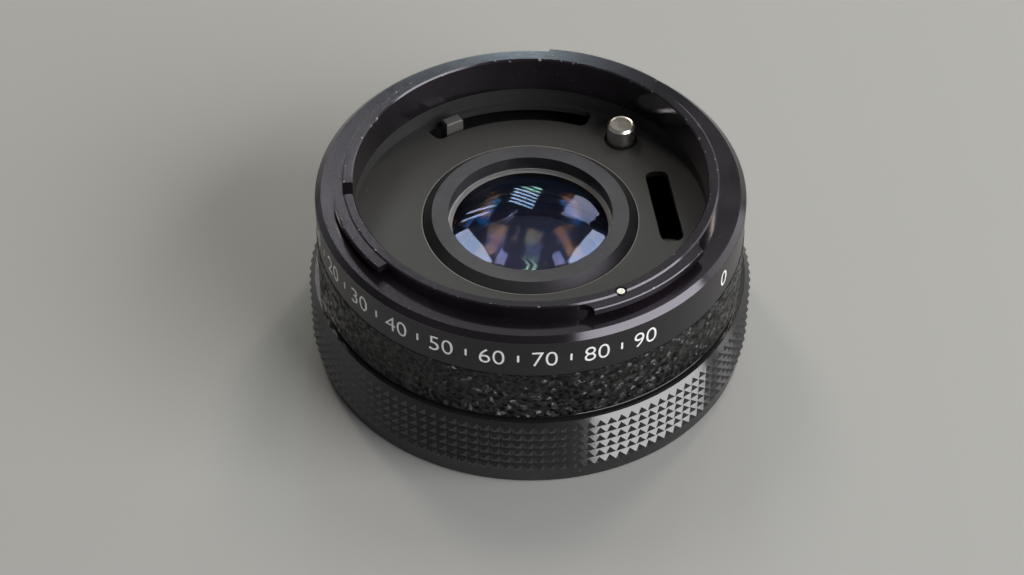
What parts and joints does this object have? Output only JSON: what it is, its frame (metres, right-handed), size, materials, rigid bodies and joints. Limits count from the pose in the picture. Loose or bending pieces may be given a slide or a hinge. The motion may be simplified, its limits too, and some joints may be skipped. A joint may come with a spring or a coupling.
{
  "type": "camera teleconverter",
  "caption": "Short black teleconverter for a breech-lock camera mount, with a knurled locking ring, leatherette grip, coated front lens, aperture levers and a spring pin.",
  "frame": {"origin": "centre of the knurled locking ring's underside, the level on which the part stands", "axes": "+Z along the optical axis towards the lens side, -Y towards the side with the index pin, +X to the right of that side"},
  "size_m": [0.0614, 0.0614, 0.0283],
  "materials": {
    "anodised_black": "satin black anodised aluminium",
    "matt_black_metal": "matt black painted aluminium",
    "leatherette": "pebbled black leatherette",
    "bright_steel": "turned bright steel",
    "plain_steel": "plain steel",
    "lever_metal": "dull grey steel",
    "bearing_brass": "plain brass",
    "chromed_metal": "satin chrome plated brass",
    "coated_glass": "polished, coated optical glass"
  },
  "bodies": {
    "housing": {"front_mount_ring": "anodised_black", "index_pin": "bright_steel", "front_ring_screws": "plain_steel", "housing_barrel": "anodised_black", "leatherette_band": "leatherette", "front_baffle": "matt_black_metal", "chassis": "matt_black_metal", "chassis_screws": "plain_steel", "signal_sleeve": "bearing_brass", "drive_sleeve": "bearing_brass", "signal_return_spring": "plain_steel", "drive_return_spring": "plain_steel", "hub_circlip": "plain_steel", "pin_guide_bush": "bearing_brass", "rear_mount_flange": "chromed_metal", "rear_flange_screws": "plain_steel", "locating_key": "bright_steel", "rear_cover_plate": "matt_black_metal", "rear_cover_screws": "plain_steel", "breech_stop_pin": "plain_steel", "friction_washer": "bearing_brass", "front_retaining_ring": "anodised_black", "lens_barrel": "matt_black_metal", "front_element": "coated_glass", "front_spacer": "matt_black_metal", "second_element": "coated_glass", "third_element": "coated_glass", "rear_spacer": "matt_black_metal", "rear_element": "coated_glass", "rear_retaining_ring": "matt_black_metal", "barrel_lock_ring": "matt_black_metal"},
    "breech": {"breech_ring": "anodised_black"},
    "aperture_drive": {"drive_ring": "bearing_brass", "drive_front_lever": "lever_metal", "drive_rear_lever": "lever_metal", "drive_rivets": "bearing_brass"},
    "aperture_signal": {"signal_ring": "bearing_brass", "signal_fork": "lever_metal", "signal_rear_lever": "lever_metal", "signal_rivet": "bearing_brass"},
    "aperture_pin": {"full_aperture_pin": "bright_steel", "pin_washer": "bearing_brass", "pin_spring": "plain_steel"}
  },
  "joints": [
    {"name": "breech_turn", "type": "hinge", "parent": "housing", "child": "breech", "pos_m": [0, 0, 0.0057], "axis": [0, 0, -1], "range_deg": [0, 55]},
    {"name": "drive_turn", "type": "hinge", "parent": "housing", "child": "aperture_drive", "pos_m": [0, 0, 0.0132], "axis": [0, 0, -1], "range_deg": [0, 44], "stiffness_Nm_per_rad": 0.01, "springref_deg": -34.38},
    {"name": "signal_turn", "type": "hinge", "parent": "housing", "child": "aperture_signal", "pos_m": [0, 0, 0.0095], "axis": [0, 0, 1], "range_deg": [0, 30], "stiffness_Nm_per_rad": 0.008, "springref_deg": -34.38},
    {"name": "pin_press", "type": "slide", "parent": "housing", "child": "aperture_pin", "axis": [0, 0, -1], "range_m": [0, 0.003], "stiffness_N_per_m": 150, "springref_m": -0.004, "deforming": ["pin_spring"]}
  ]
}
